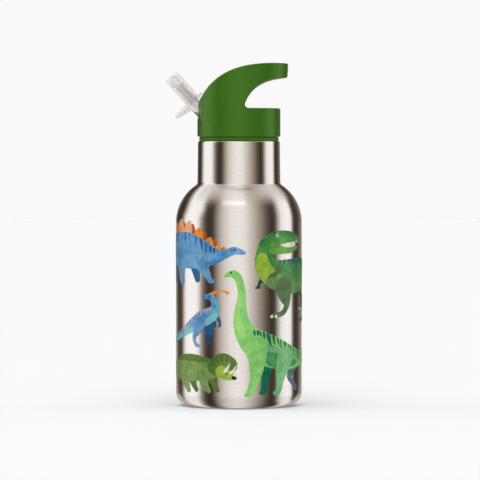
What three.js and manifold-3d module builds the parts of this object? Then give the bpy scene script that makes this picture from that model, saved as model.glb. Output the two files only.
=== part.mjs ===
// Kids drinking bottle: a double-walled steel flask with a screw lid, a carry hook
// and a flip-up straw spout. Units are millimetres, +Z is up, and the origin is the
// centre of the base. The spout side is -X and the open end of the hook is +X.

import * as THREE from 'three';
import { mergeVertices } from 'three/addons/utils/BufferGeometryUtils.js';
import Module from 'manifold-3d';

const wasm = await Module();
wasm.setup();

// ---------- driving dimensions ----------

const FIT = 0.3;                 // gap left between neighbouring pieces
const SHEET = 0.5;               // thickness of the steel sheet
const TURN_STEPS = 36;           // flats round each large turned piece

const BODY_R = 35;               // outer radius of the straight body
const CORNER_R = 7;              // rounding of the bottom corner
const BODY_TOP_Z = 102;          // where the straight body meets the shoulder
const SHOULDER_R = 24.65;        // radius of the shoulder arc
const FILLET_R = 2.1;            // hollow rounding from shoulder to neck
const NECK_LOW_R = 23.1;         // neck radius just above the shoulder
const NECK_TOP_R = 22.8;         // neck radius under the lip
const LIP_R = 1.4;               // rounding of the lip
const LIP_Z = 147.4;             // top of the steel
const LIP_IN_R = 21.1;           // inner edge of the rolled-in lip

const DISC_R = 26;               // base disc
const DISC_T = 0.7;
const SEAT_Z = 1;                // underside of the recess that holds the disc
const RIM_Z = 0.5;               // underside of the shell round the disc
const RIM_OUT_R = 28;

const LINER_R = 32;              // outer radius of the liner
const LINER_Z = 5.5;             // underside of the liner
const LINER_CORNER_R = 8;
const LINER_NECK_R = 21.4;
const LINER_TOP_Z = 146.6;

const PITCH = 4;                 // one turn of the screw thread lifts the lid this far
const THREAD_TURNS = 1.25;
const LINER_THREAD_Z = 137;      // where the liner's thread starts
const PLUG_THREAD_Z = 135;       // where the plug's thread starts, half a pitch lower
const LINER_CREST_R = 20.1;
const PLUG_CREST_R = 20.6;
const PLUG_R = 19.5;             // core of the threaded plug
const PLUG_IN_R = 17.8;
const PLUG_LOW_Z = 132;

const LID_LOW_Z = 149.5;         // bottom of the lid's skirt
const LID_R = 23.1;              // radius of the lid's round part
const HOOK_REACH = 27.7;         // how far the hook's end stands out in +X
const LID_WALL = 2;
const RING_TOP_Z = 165.3;        // floor of the finger gap
const SLOT_HALF = 4.6;           // half width of the spout's slot
const RIB_HALF = 6.6;            // outer face of the slot's side walls

const PIVOT = new THREE.Vector3(-16.55, 0, 159.55);
const OPEN_LEAN = 42.2;          // spout's lean from upright when open, degrees
const CLOSE_TURN = 76;           // turn from open to folded, degrees
const HUB_R = 4.8;
const HUB_HALF = 4.3;
const TRUNNION_R = 1.5;
const TRUNNION_HALF = 6.3;
const STEM_R = 4.1;
const BORE_R = 1.9;
const NIPPLE_R = 2.5;
const VALVE_R = 4.1;
const FLANGE_AT = 13.6;          // flange's distance from the pivot along the spout
const FLANGE_HALF = 4.1;         // half width of the thumb fin and the stub
const SPOUT_LENGTH = 31.5;       // pivot to the mouthpiece's end

const STRAW_X = -11.3;
const STRAW_R = 2.6;
const STRAW_IN_R = 2.05;
const STRAW_LOW_Z = 9;

// ---------- materials ----------

const steel = new THREE.MeshStandardMaterial({ color: '#c9c1b8', roughness: 0.3, metalness: 1 });
const bare_steel = new THREE.MeshStandardMaterial({ color: '#bdb8b2', roughness: 0.42, metalness: 1 });
const green_plastic = new THREE.MeshStandardMaterial({ color: '#3f6a25', roughness: 0.5, metalness: 0 });
const green_rubber = new THREE.MeshStandardMaterial({ color: '#3c6723', roughness: 0.7, metalness: 0 });
const clear_plastic = new THREE.MeshStandardMaterial({
  color: '#e3e6e6', roughness: 0.12, metalness: 0, transparent: true, opacity: 0.4,
});
const clear_silicone = new THREE.MeshStandardMaterial({
  color: '#e6e6e2', roughness: 0.3, metalness: 0, transparent: true, opacity: 0.5,
});
const white_silicone = new THREE.MeshStandardMaterial({ color: '#e4e4de', roughness: 0.65, metalness: 0 });
const milky_plastic = new THREE.MeshStandardMaterial({ color: '#d8dad4', roughness: 0.5, metalness: 0 });
const getter_alloy = new THREE.MeshStandardMaterial({ color: '#6c6a68', roughness: 0.8, metalness: 0.6 });
const seal_glass = new THREE.MeshStandardMaterial({ color: '#4a4d46', roughness: 0.25, metalness: 0 });

// ---------- geometry helpers ----------

const rad = THREE.MathUtils.degToRad;

// Turn a closed three.js geometry into a solid that can be joined and cut.
function solid(geometry) {
  let bare = geometry.clone();
  if (bare.index) bare = bare.toNonIndexed();
  bare.deleteAttribute('normal');
  bare.deleteAttribute('uv');
  bare = mergeVertices(bare, 1e-4);
  return new wasm.Manifold(new wasm.Mesh({
    numProp: 3,
    vertProperties: new Float32Array(bare.attributes.position.array),
    triVerts: new Uint32Array(bare.index.array),
  }));
}

function mesh(name, shape, material) {
  const data = shape.getMesh();
  const geometry = new THREE.BufferGeometry();
  geometry.setAttribute('position', new THREE.BufferAttribute(data.vertProperties, 3));
  geometry.setIndex(new THREE.BufferAttribute(data.triVerts, 1));
  geometry.computeVertexNormals();
  const result = new THREE.Mesh(geometry, material);
  result.name = name;
  return result;
}

// A turned solid about Z from a closed loop of [radius, height] points, listed
// with the material on the left (counter-clockwise in the radius-height plane).
function turned(points, segments) {
  const profile = points.map(([r, z]) => new THREE.Vector2(r, z));
  if (points[0][0] > 0) profile.push(profile[0].clone());
  const geometry = new THREE.LatheGeometry(profile, segments);
  geometry.rotateX(Math.PI / 2);
  return solid(geometry);
}

function tube(outer_r, inner_r, low, high, segments) {
  return turned([[inner_r, low], [outer_r, low], [outer_r, high], [inner_r, high]], segments);
}

function rod(radius, low, high, segments) {
  return turned([[0, low], [radius, low], [radius, high], [0, high]], segments);
}

// A straight-sided solid from an outline in XZ, reaching from -half to +half in Y.
function plate(outline, half) {
  const geometry = new THREE.ExtrudeGeometry(outline, {
    depth: 2 * half, bevelEnabled: false, curveSegments: 10, steps: 1,
  });
  geometry.rotateX(Math.PI / 2);
  geometry.translate(0, half, 0);
  return solid(geometry);
}

// A straight-sided solid from an outline in XY, reaching from low to high in Z.
function prism(outline, low, high) {
  const geometry = new THREE.ExtrudeGeometry(outline, {
    depth: high - low, bevelEnabled: false, curveSegments: 18, steps: 1,
  });
  geometry.translate(0, 0, low);
  return solid(geometry);
}

function polygon(points) {
  return new THREE.Shape(points.map(([x, y]) => new THREE.Vector2(x, y)));
}

function box(low, high) {
  const geometry = new THREE.BoxGeometry(high[0] - low[0], high[1] - low[1], high[2] - low[2]);
  geometry.translate((low[0] + high[0]) / 2, (low[1] + high[1]) / 2, (low[2] + high[2]) / 2);
  return solid(geometry);
}

// A round bar lying along Y, centred on [x, z].
function cross_bar(radius, half, x, z, segments) {
  const geometry = new THREE.CylinderGeometry(radius, radius, 2 * half, segments);
  geometry.translate(x, 0, z);
  return solid(geometry);
}

// Points on a circle in the radius-height plane, from one angle to another in degrees.
function arc(centre_r, centre_z, radius, from, to, steps) {
  const points = [];
  for (let i = 0; i <= steps; i += 1) {
    const angle = rad(from + (to - from) * i / steps);
    points.push([centre_r + radius * Math.cos(angle), centre_z + radius * Math.sin(angle)]);
  }
  return points;
}

// A helical ridge: root_r and crest_r are its two radii and low its starting height.
// It sinks a little into the wall it stands on, and is lower at both ends.
function helical_ridge(root_r, crest_r, low, root_width, crest_width) {
  const steps = Math.round(28 * THREAD_TURNS);
  const sink = Math.sign(crest_r - root_r) * 0.35;
  const rings = [];
  for (let i = 0; i <= steps; i += 1) {
    const turn = i / steps;
    const fade = Math.min(1, 6 * turn, 6 * (1 - turn));
    const angle = 2 * Math.PI * THREAD_TURNS * turn;
    const middle = low + PITCH * THREAD_TURNS * turn;
    const crest = root_r + (crest_r - root_r) * (0.3 + 0.7 * fade);
    const section = [
      [root_r - sink, middle - root_width / 2],
      [crest, middle - crest_width / 2],
      [crest, middle + crest_width / 2],
      [root_r - sink, middle + root_width / 2],
    ];
    rings.push(section.map(([r, z]) => [r * Math.cos(angle), r * Math.sin(angle), z]));
  }
  const faces = [];
  const at = (ring, corner) => 4 * ring + (corner % 4);
  for (let ring = 0; ring < steps; ring += 1) {
    for (let corner = 0; corner < 4; corner += 1) {
      faces.push(at(ring, corner), at(ring + 1, corner), at(ring + 1, corner + 1));
      faces.push(at(ring, corner), at(ring + 1, corner + 1), at(ring, corner + 1));
    }
  }
  faces.push(0, 1, 2, 0, 2, 3);
  const last = 4 * steps;
  faces.push(last, last + 2, last + 1, last, last + 3, last + 2);
  if (crest_r < root_r) faces.reverse();
  const geometry = new THREE.BufferGeometry();
  geometry.setAttribute('position', new THREE.Float32BufferAttribute(rings.flat(2), 3));
  geometry.setIndex(faces);
  return solid(geometry);
}

// ---------- steel flask ----------

// The shoulder arc's centre, and the fillet that blends it into the neck. Both walls
// use the same centre, so offset is how far the surface lies inside the outside one.
const SHOULDER_CENTRE_R = BODY_R - SHOULDER_R;

function shoulder_and_fillet(radius, neck_r, fillet_r, steps) {
  const reach = radius + fillet_r;
  const across = neck_r + fillet_r - SHOULDER_CENTRE_R;
  const rise = Math.sqrt(reach * reach - across * across);
  const meet = THREE.MathUtils.radToDeg(Math.atan2(rise, across));
  return [
    ...arc(SHOULDER_CENTRE_R, BODY_TOP_Z, radius, 0, meet, steps),
    ...arc(neck_r + fillet_r, BODY_TOP_Z + rise, fillet_r, 180 + meet, 180, 2).slice(1),
  ];
}

function outer_shell() {
  const outside = [
    [4.8, SEAT_Z + 1], [6, SEAT_Z], [DISC_R + FIT, SEAT_Z], [DISC_R + FIT, RIM_Z],
    ...arc(RIM_OUT_R, CORNER_R + RIM_Z, CORNER_R, -90, 0, 4),
    ...shoulder_and_fillet(SHOULDER_R, NECK_LOW_R, FILLET_R, 7),
    ...arc(NECK_TOP_R - LIP_R, LIP_Z - LIP_R, LIP_R, 0, 90, 3),
    [LIP_IN_R, LIP_Z],
  ];
  const inside = [
    [4.6, SEAT_Z + 1 + SHEET], [6.2, SEAT_Z + SHEET],
    ...arc(RIM_OUT_R, CORNER_R + RIM_Z + 0.3, CORNER_R - SHEET, -90, 0, 3),
    ...shoulder_and_fillet(SHOULDER_R - SHEET, NECK_LOW_R - SHEET, FILLET_R + SHEET, 5),
    ...arc(NECK_TOP_R - LIP_R, LIP_Z - LIP_R, LIP_R - SHEET, 0, 90, 2),
    [LIP_IN_R, LIP_Z - SHEET],
  ];
  const hole = 0.9;
  const loop = [[hole, SEAT_Z + 1], ...outside, ...inside.reverse(), [hole, SEAT_Z + 1 + SHEET]];
  return turned(loop, TURN_STEPS);
}

function inner_liner() {
  const inner_r = LINER_R - SHEET;
  const corner_z = LINER_Z + LINER_CORNER_R;
  const outside = [
    [0, LINER_Z],
    ...arc(LINER_R - LINER_CORNER_R, corner_z, LINER_CORNER_R, -90, 0, 3),
    ...shoulder_and_fillet(LINER_R - SHOULDER_CENTRE_R, LINER_NECK_R, 1.5, 5),
    [LINER_NECK_R, LINER_TOP_Z],
  ];
  const inside = [
    [0, LINER_Z + SHEET],
    ...arc(LINER_R - LINER_CORNER_R, corner_z, LINER_CORNER_R - SHEET, -90, 0, 3),
    ...shoulder_and_fillet(inner_r - SHOULDER_CENTRE_R, LINER_NECK_R - SHEET, 2, 5),
    [LINER_NECK_R - SHEET, LINER_TOP_Z],
  ];
  const wall = turned([...outside, ...inside.reverse()], TURN_STEPS);
  return wall.add(helical_ridge(LINER_NECK_R - SHEET, LINER_CREST_R, LINER_THREAD_Z, 1.9, 0.8));
}

function base_disc() {
  const groove_low = 17.6;
  const groove_high = 18.6;
  return turned([
    [0, 0], [groove_low, 0], [groove_low + 0.2, 0.25], [groove_high - 0.2, 0.25], [groove_high, 0],
    [DISC_R - 0.4, 0], [DISC_R, 0.3], [DISC_R, DISC_T], [0, DISC_T],
  ], TURN_STEPS);
}

function seal_bead() {
  const low = DISC_T + FIT;
  return turned([[0, low], [1.6, low], [2.4, low + 0.25], [2.4, low + 0.5], [1.2, low + 0.7], [0, low + 0.7]], 16);
}

function getter() {
  const high = LINER_Z - FIT;
  return turned([[0, high - 1.6], [4, high - 1.6], [4.5, high - 1.1], [4.5, high], [0, high]], 18)
    .translate([13, 0, 0]);
}

// ---------- lid ----------

function hook_outline() {
  const outline = new THREE.Shape();
  outline.moveTo(-24.5, LID_LOW_Z);
  outline.lineTo(30, LID_LOW_Z);
  outline.lineTo(30, 183);
  outline.lineTo(27.1, 183);
  outline.lineTo(27.6, 189.5);
  outline.lineTo(26.5, 190.2);
  outline.bezierCurveTo(5.3, 190.85, -13.3, 188.1, -22.35, 168.65);
  outline.lineTo(-24.5, 163.5);
  return outline;
}

// The lid seen from above: round on the spout side, drawn out to an ellipse at the hook.
function lid_plan(inset) {
  const outline = new THREE.Shape();
  const half = LID_R - inset;
  outline.absellipse(0, 0, half, half, Math.PI / 2, 1.5 * Math.PI, false, 0);
  outline.absellipse(0, 0, HOOK_REACH - inset, half, 1.5 * Math.PI, 2.5 * Math.PI, false, 0);
  return outline;
}

function finger_gap_outline() {
  const outline = new THREE.Shape();
  outline.moveTo(5.6, RING_TOP_Z);
  outline.lineTo(40, RING_TOP_Z);
  outline.lineTo(40, 185);
  outline.lineTo(28, 182.9);
  outline.lineTo(26.7, 182.2);
  outline.bezierCurveTo(16.9, 181.6, 7.3, 178.9, 3.4, 168.2);
  outline.quadraticCurveTo(2.9, 165.5, 5.6, RING_TOP_Z);
  return outline;
}

// The side cores stop short of the skin and of the slot's walls.
function hook_core_outline() {
  const outline = new THREE.Shape();
  outline.moveTo(-25, 160);
  outline.lineTo(0.8, 160);
  outline.lineTo(0.8, 168.4);
  outline.quadraticCurveTo(2.6, 176, 7.4, 181.4);
  outline.lineTo(5.5, 187);
  outline.quadraticCurveTo(-11.5, 184.6, -19.6, 169.6);
  outline.lineTo(-25, 160);
  return outline;
}

// A direction in the XZ plane at a lean from upright, and a point measured along it
// from the pivot and then to its right.
function spout_point(lean, along, right) {
  const a = rad(lean);
  return [
    PIVOT.x + along * Math.sin(a) + right * Math.cos(a),
    PIVOT.z + along * Math.cos(a) - right * Math.sin(a),
  ];
}

// The slot spans everything the spout sweeps between open and folded.
function slot_cut() {
  const open = -OPEN_LEAN;
  const folded = CLOSE_TURN - OPEN_LEAN;
  const reach = SPOUT_LENGTH + 0.7;
  const room = STEM_R + 0.35;
  const sweep = polygon([
    spout_point(open, 0, -room), spout_point(folded, 0, room),
    spout_point(folded, reach, room), spout_point(folded, reach, -24),
    spout_point(open, 45, 15), spout_point(open, 45, -room),
  ]);
  const stub_reach = 15.8;
  const stub = new THREE.Shape();
  stub.moveTo(PIVOT.x, PIVOT.z);
  stub.lineTo(PIVOT.x + stub_reach * Math.cos(rad(26)), PIVOT.z + stub_reach * Math.sin(rad(26)));
  stub.absarc(PIVOT.x, PIVOT.z, stub_reach, rad(26), rad(70), false);
  return plate(sweep, SLOT_HALF)
    .add(plate(stub, SLOT_HALF))
    .add(cross_bar(HUB_R + 0.35, SLOT_HALF, PIVOT.x, PIVOT.z, 32));
}

function lid_shell() {
  const plan = prism(lid_plan(0), LID_LOW_Z - 1, 195);
  const ring_only = turned([
    [LID_R, LID_LOW_Z - 1], [60, LID_LOW_Z - 1], [60, RING_TOP_Z + 0.01], [LID_R, RING_TOP_Z + 0.01],
  ], 72);
  let shell = plan
    .intersect(plate(hook_outline(), 40))
    .subtract(plate(finger_gap_outline(), 40))
    .subtract(ring_only);

  const inner_r = LID_R - LID_WALL;
  const hollow = rod(inner_r, LID_LOW_Z - 1, RING_TOP_Z - LID_WALL, TURN_STEPS);
  const core_plan = prism(lid_plan(LID_WALL), 150, 195);
  const cores = core_plan
    .intersect(plate(hook_core_outline(), 40))
    .subtract(box([-40, -RIB_HALF, 140], [40, RIB_HALF, 200]));
  shell = shell.subtract(hollow).subtract(cores);

  const rib_low = 156.4;
  const ribs = rod(inner_r + 0.4, rib_low, RING_TOP_Z - LID_WALL + 0.4, TURN_STEPS)
    .intersect(box([-25, -RIB_HALF, 150], [-8, RIB_HALF, 170]))
    .subtract(box([-25, -SLOT_HALF, 150], [-4, SLOT_HALF, 170]));
  const socket = cross_bar(TRUNNION_R + FIT, RIB_HALF + 1, PIVOT.x, PIVOT.z, 24)
    .add(box(
      [PIVOT.x - TRUNNION_R - FIT, -RIB_HALF - 1, rib_low - 1],
      [PIVOT.x + TRUNNION_R + FIT, RIB_HALF + 1, PIVOT.z],
    ));
  const snap_groove = turned([
    [inner_r - 1, 151.2], [inner_r, 151.2], [inner_r + 0.4, 151.6], [inner_r, 152], [inner_r - 1, 152],
  ], TURN_STEPS);
  return shell.add(ribs).subtract(socket).subtract(slot_cut()).subtract(snap_groove);
}

function lid_gasket() {
  return turned([
    [19.95, 147.55], [21.7, 147.55], [22.1, 147.8], [22.25, 148.3], [22.1, 148.7],
    [21.7, 149], [21.4, 149.3], [19.95, 149.3],
  ], TURN_STEPS);
}

// Threaded insert: a cup that opens downward, with a deck under the lid.
function lid_plug() {
  const deck_z = 151.6;
  const rim_r = LID_R - LID_WALL - FIT;
  const cup = turned([
    [PLUG_IN_R, PLUG_LOW_Z], [PLUG_R - 0.5, PLUG_LOW_Z], [PLUG_R, PLUG_LOW_Z + 0.6], [PLUG_R, 149.7],
    [rim_r, 149.7], [rim_r, 151.3], [rim_r + 0.3, deck_z], [rim_r, deck_z + 0.3], [0, deck_z + 0.3],
    [0, 149.9], [PLUG_IN_R - 0.6, 149.9], [PLUG_IN_R, 149.3],
  ], TURN_STEPS);
  const boss = prism(stadium(STRAW_X + 0.3, PIVOT.x, 3.4), 147.2, 150.2)
    .intersect(rod(PLUG_IN_R + 0.5, 140, 160, TURN_STEPS));
  const nipple = turned([
    [0, 137], [1.5, 137], [1.85, 138.4], [1.7, 138.6], [1.7, 147.6], [0, 147.6],
  ], 20).translate([STRAW_X, 0, 0]);
  const duct = prism(stadium(STRAW_X, PIVOT.x, BORE_R), 149, 160);
  const straw_bore = rod(1.1, 130, 150, 20).translate([STRAW_X, 0, 0]);
  let plug = cup
    .add(helical_ridge(PLUG_R, PLUG_CREST_R, PLUG_THREAD_Z, 1.9, 0.8))
    .add(boss)
    .add(nipple)
    .subtract(duct)
    .subtract(straw_bore)
    .subtract(rod(1.5, 145, 155, 16).translate([VENT_X, 0, 0]));
  for (const y of [-2.6, 2.6]) {
    plug = plug.subtract(rod(0.7, 145, 155, 10).translate([VENT_X, y, 0]));
  }
  return plug;
}

// A slot shape in XY between two centres on the X axis.
function stadium(x_a, x_b, radius) {
  const right = Math.max(x_a, x_b);
  const left = Math.min(x_a, x_b);
  const outline = new THREE.Shape();
  outline.absarc(right, 0, radius, -Math.PI / 2, Math.PI / 2, false);
  outline.absarc(left, 0, radius, Math.PI / 2, 1.5 * Math.PI, false);
  return outline;
}

const VENT_X = 6;

function vent_valve() {
  return turned([
    [0, 146.6], [1, 147.4], [1.2, 148.2], [4, 149.2], [4, 149.6], [1.2, 149.6], [1.2, 152.2],
    [2.1, 152.2], [1.1, 154], [0, 154],
  ], 18).translate([VENT_X, 0, 0]);
}

// ---------- spout ----------

// Plate with a pocket for the seal and two posts that carry the trunnions.
function spout_cradle() {
  const low = 152.2;
  const high = 154.4;
  const deck = rod(LID_R - LID_WALL - 0.5, low, high, TURN_STEPS)
    .intersect(box([-22, -9.4, 150], [-8.5, 9.4, 156]));
  let cradle = deck;
  for (const side of [-1, 1]) {
    const inner = side * (SLOT_HALF + 0.1);
    const outer = side * (RIB_HALF - 0.1);
    cradle = cradle.add(box(
      [PIVOT.x - TRUNNION_R, Math.min(inner, outer), high - 0.5],
      [PIVOT.x + TRUNNION_R, Math.max(inner, outer), PIVOT.z - 0.5],
    ));
  }
  return cradle
    .subtract(cross_bar(TRUNNION_R + 0.2, 12, PIVOT.x, PIVOT.z, 24))
    .subtract(rod(4.3, low + 0.8, 158, 28).translate([PIVOT.x, 0, 0]))
    .subtract(rod(BORE_R, low - 1, 158, 20).translate([PIVOT.x, 0, 0]));
}

function spout_seal() {
  return tube(4, BORE_R + 0.1, 153.1, 157.6, 28).rotate([0, 0, 3]).translate([PIVOT.x, 0, 0])
    .subtract(cross_bar(HUB_R + 0.2, 8, PIVOT.x, PIVOT.z, 36));
}

// The spout is drawn upright about the pivot, mouthpiece up, thumb fin toward -X.
function spout_stem() {
  const pipe = turned([
    [0, 0], [STEM_R, 0], [STEM_R, FLANGE_AT - 2.2], [STEM_R - 0.4, FLANGE_AT - 1.4],
    [NIPPLE_R, FLANGE_AT - 1.4], [NIPPLE_R, 23], [NIPPLE_R + 0.2, 23.2], [NIPPLE_R - 0.3, 25], [0, 25],
  ], 24);
  const inlet_turn = 180 + OPEN_LEAN;
  const inlet = rod(BORE_R, 0, HUB_R + 2, 20).rotate([0, inlet_turn, 0]);
  return pipe
    .add(cross_bar(HUB_R, HUB_HALF, 0, 0, 36))
    .add(cross_bar(TRUNNION_R, TRUNNION_HALF, 0, 0, 16))
    .subtract(rod(BORE_R, 0, 30, 20))
    .subtract(inlet);
}

function bite_valve() {
  const root = FLANGE_AT - 1;
  const sleeve = turned([
    [0, root], [VALVE_R + 0.1, root], [VALVE_R + 0.1, FLANGE_AT + 1.2], [VALVE_R, FLANGE_AT + 2],
    [VALVE_R, SPOUT_LENGTH - 0.8], [VALVE_R - 0.2, SPOUT_LENGTH - 0.3],
    [VALVE_R - 0.7, SPOUT_LENGTH], [0, SPOUT_LENGTH],
  ], 24);
  const fin = polygon([
    [-3, FLANGE_AT + 1.1], [-3, FLANGE_AT - 1.2], [-13.2, FLANGE_AT - 1.4],
    [-13.6, FLANGE_AT - 1], [-13.4, FLANGE_AT - 0.4], [-12.6, FLANGE_AT + 0.1],
  ]);
  const stub = polygon([
    [3, FLANGE_AT - 1.1], [6.4, FLANGE_AT - 0.6], [6.7, FLANGE_AT - 0.2], [6.3, FLANGE_AT + 0.25],
    [3, FLANGE_AT + 0.5],
  ]);
  const gusset = polygon([
    [-3, FLANGE_AT - 3.6], [-4.5, FLANGE_AT - 3.6], [-12.2, FLANGE_AT - 2.2],
    [-13, FLANGE_AT - 1.3], [-3, FLANGE_AT - 1],
  ]);
  const pocket = turned([
    [0, root - 1], [NIPPLE_R + FIT, root - 1], [NIPPLE_R + FIT, 22.6], [NIPPLE_R + 0.5, 22.8],
    [NIPPLE_R + 0.5, 23.6], [NIPPLE_R, 25.4], [NIPPLE_R, SPOUT_LENGTH - 1.8],
    [1.6, SPOUT_LENGTH - 1.1], [0, SPOUT_LENGTH - 1.1],
  ], 24);
  const around_stem = rod(STEM_R + FIT, 0, root + 0.1, 24);
  return sleeve
    .add(plate(fin, FLANGE_HALF))
    .add(plate(stub, FLANGE_HALF))
    .add(plate(gusset, 0.8))
    .subtract(around_stem)
    .subtract(pocket)
    .subtract(box([-0.25, -1.9, SPOUT_LENGTH - 2], [0.25, 1.9, SPOUT_LENGTH + 1]));
}

function straw() {
  return tube(STRAW_R, STRAW_IN_R, STRAW_LOW_Z, 146.9, 20).translate([STRAW_X, 0, 0]);
}

// ---------- assembly ----------

const bottle = new THREE.Group();
bottle.add(
  mesh('outer_shell', outer_shell(), steel),
  mesh('base_disc', base_disc(), steel),
  mesh('inner_liner', inner_liner(), bare_steel),
  mesh('seal_bead', seal_bead(), seal_glass),
  mesh('getter', getter(), getter_alloy),
);

const lid = new THREE.Group();
lid.add(
  mesh('lid_gasket', lid_gasket(), green_rubber),
  mesh('lid_shell', lid_shell(), green_plastic),
  mesh('lid_plug', lid_plug(), green_plastic),
  mesh('vent_valve', vent_valve(), white_silicone),
  mesh('spout_cradle', spout_cradle(), milky_plastic),
  mesh('spout_seal', spout_seal(), white_silicone),
  mesh('straw', straw(), clear_plastic),
);

const spout = new THREE.Group();
spout.position.copy(PIVOT);
spout.rotation.y = rad(-OPEN_LEAN);
spout.add(
  mesh('spout_stem', spout_stem(), clear_plastic),
  mesh('bite_valve', bite_valve(), clear_silicone),
);
lid.add(spout);
bottle.add(lid);

export default bottle;
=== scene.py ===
"""Looks for a kids drinking bottle: brushed steel flask, green lid with a carry hook,
clear flip-up straw spout, and plain generic dinosaur pictures printed round the body.

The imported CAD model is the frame. Every piece here is in metres in the same frame:
+Z up, origin at the centre of the base, -X the spout side, +X the open end of the hook.
"""

import math

import bmesh
import bpy
import numpy as np
from mathutils import Matrix, Vector

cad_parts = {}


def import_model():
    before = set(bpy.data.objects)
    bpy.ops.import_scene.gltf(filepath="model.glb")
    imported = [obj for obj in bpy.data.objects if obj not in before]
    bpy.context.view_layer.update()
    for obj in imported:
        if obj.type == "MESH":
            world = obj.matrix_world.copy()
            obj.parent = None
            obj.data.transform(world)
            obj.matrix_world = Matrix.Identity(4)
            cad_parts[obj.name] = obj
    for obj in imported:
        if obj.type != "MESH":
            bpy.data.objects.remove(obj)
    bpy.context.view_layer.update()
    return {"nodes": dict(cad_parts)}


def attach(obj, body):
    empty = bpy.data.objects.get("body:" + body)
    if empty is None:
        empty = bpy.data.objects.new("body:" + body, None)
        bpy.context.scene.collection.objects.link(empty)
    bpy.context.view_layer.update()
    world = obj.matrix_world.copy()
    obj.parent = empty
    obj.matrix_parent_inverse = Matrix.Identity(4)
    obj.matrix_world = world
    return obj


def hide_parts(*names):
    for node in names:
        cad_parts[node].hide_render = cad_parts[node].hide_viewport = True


MM = 0.001

# ---------- the flask's profile, in millimetres ----------

BODY_R = 35.0
BODY_TOP_Z = 102.0
CORNER_R = 7.0
RIM_Z = 0.5
RIM_OUT_R = 28.0
SHOULDER_R = 24.65
FILLET_R = 2.1
NECK_LOW_R = 23.1
NECK_TOP_R = 22.8
LIP_R = 1.4
LIP_Z = 147.4
LIP_IN_R = 21.1
SHEET = 0.5
DISC_R = 26.0
DISC_T = 0.7
SEAT_Z = 1.0
SEAT_ROOM = 0.3
HOLE_R = 0.9
DIMPLE_RISE = 1.0

# ---------- the lid ----------

LID_LOW_Z = 149.5
LID_R = 23.1
HOOK_REACH = 27.7
LID_IN_R = 21.1
RING_TOP_Z = 165.3
DECK_LOW_Z = 163.3
SLOT_HALF = 4.6
SPOUT_ROOM = 0.35
RIB_HALF = 6.6
RIB_LOW_Z = 156.4
RIB_FRONT_X = -8.0
RIB_OVERLAP = 0.4
NOTCH_R = 1.85
HOOK_LOW_Z = 165.8
HOOK_BLEND = 3.0
POCKET_REACH = 15.8
EDGE_R = 0.8
SLOT_EDGE_R = 0.5
INNER_EDGE_R = 0.35

# ---------- the screw plug ----------

PLUG_R = 19.5
PLUG_IN_R = 17.8
PLUG_LOW_Z = 132.0
PLUG_RIM_R = 20.8
PLUG_TOP_Z = 151.9
PLUG_CREST_R = 20.6
THREAD_Z = 135.0
THREAD_TURNS = 1.25
THREAD_HALF = 0.95
THREAD_FLANK = 0.5
THREAD_RUN_OUTS = 8
THREADED = (133.0, 143.0)
PITCH = 4.0

# ---------- the spout ----------

PIVOT = np.array([-16.55, 0.0, 159.55])
OPEN_LEAN = 42.2
CLOSE_TURN = 76.0
HUB_R = 4.8
HUB_HALF = 4.3
TRUNNION_R = 1.5
TRUNNION_HALF = 6.3
STEM_R = 4.1
BORE_R = 1.9
NIPPLE_R = 2.5
VALVE_R = 4.1
FLANGE_AT = 13.6
FLANGE_HALF = 4.1
SPOUT_LENGTH = 31.5
SOCKET_ROOM = 0.3
SLIT_HALF = 0.28
SLIT_REACH = 1.9
SLIT_DEPTH = 2.0


# ---------- mesh helpers ----------

def in_scene(name, data):
    made = bpy.data.objects.new(name, data)
    bpy.context.scene.collection.objects.link(made)
    return made


def new_object(name, vertices, faces, smooth=True):
    mesh = bpy.data.meshes.new(name)
    mesh.from_pydata([tuple(v) for v in vertices], [], [tuple(f) for f in faces])
    mesh.update()
    made = in_scene(name, mesh)
    mesh.shade_smooth() if smooth else mesh.shade_flat()
    return made


def arc(centre_r, centre_z, radius, start, end, steps):
    """Points on a circle in the radius-height plane, angles in degrees."""
    angles = np.radians(np.linspace(start, end, steps + 1))
    return [(centre_r + radius * math.cos(a), centre_z + radius * math.sin(a)) for a in angles]


def turned(name, profile, steps=160, sharp_angle=32.0):
    """A solid of revolution about Z from a loop of (radius, height) points in millimetres,
    listed anticlockwise. A loop that starts and ends on the axis closes there."""
    on_axis = profile[0][0] == 0 and profile[-1][0] == 0
    ring_points = profile[1:-1] if on_axis else profile
    angles = np.linspace(0, 2 * math.pi, steps, endpoint=False)
    vertices = [
        (r * MM * math.cos(a), r * MM * math.sin(a), z * MM)
        for r, z in ring_points for a in angles
    ]
    faces = []
    rings = len(ring_points)
    spans = rings - 1 if on_axis else rings
    for ring in range(spans):
        low = ring * steps
        high = ((ring + 1) % rings) * steps
        for i in range(steps):
            j = (i + 1) % steps
            faces.append((low + i, low + j, high + j, high + i))
    if on_axis:
        first = len(vertices)
        vertices.append((0, 0, profile[0][1] * MM))
        vertices.append((0, 0, profile[-1][1] * MM))
        top = (rings - 1) * steps
        for i in range(steps):
            j = (i + 1) % steps
            faces.append((first, j, i))
            faces.append((top + i, top + j, first + 1))
    made = new_object(name, vertices, faces)
    made.data.set_sharp_from_angle(angle=math.radians(sharp_angle))
    return made


def shoulder_and_fillet(radius, neck_r, fillet_r, steps):
    """The shoulder's arc and the hollow rounding into the neck, going up."""
    centre_r = BODY_R - SHOULDER_R
    reach = radius + fillet_r
    across = neck_r + fillet_r - centre_r
    rise = math.sqrt(reach * reach - across * across)
    meet = math.degrees(math.atan2(rise, across))
    shoulder = arc(centre_r, BODY_TOP_Z, radius, 0, meet, steps)
    fillet = arc(neck_r + fillet_r, BODY_TOP_Z + rise, fillet_r, 180 + meet, 180, 8)
    return shoulder + fillet[1:]


# ---------- shapes from distance fields ----------

SLOPE_STEP = 0.02
LEAST_SLOPE = 0.5
EASING = 0.5
LAST_PULLS = 3


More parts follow.
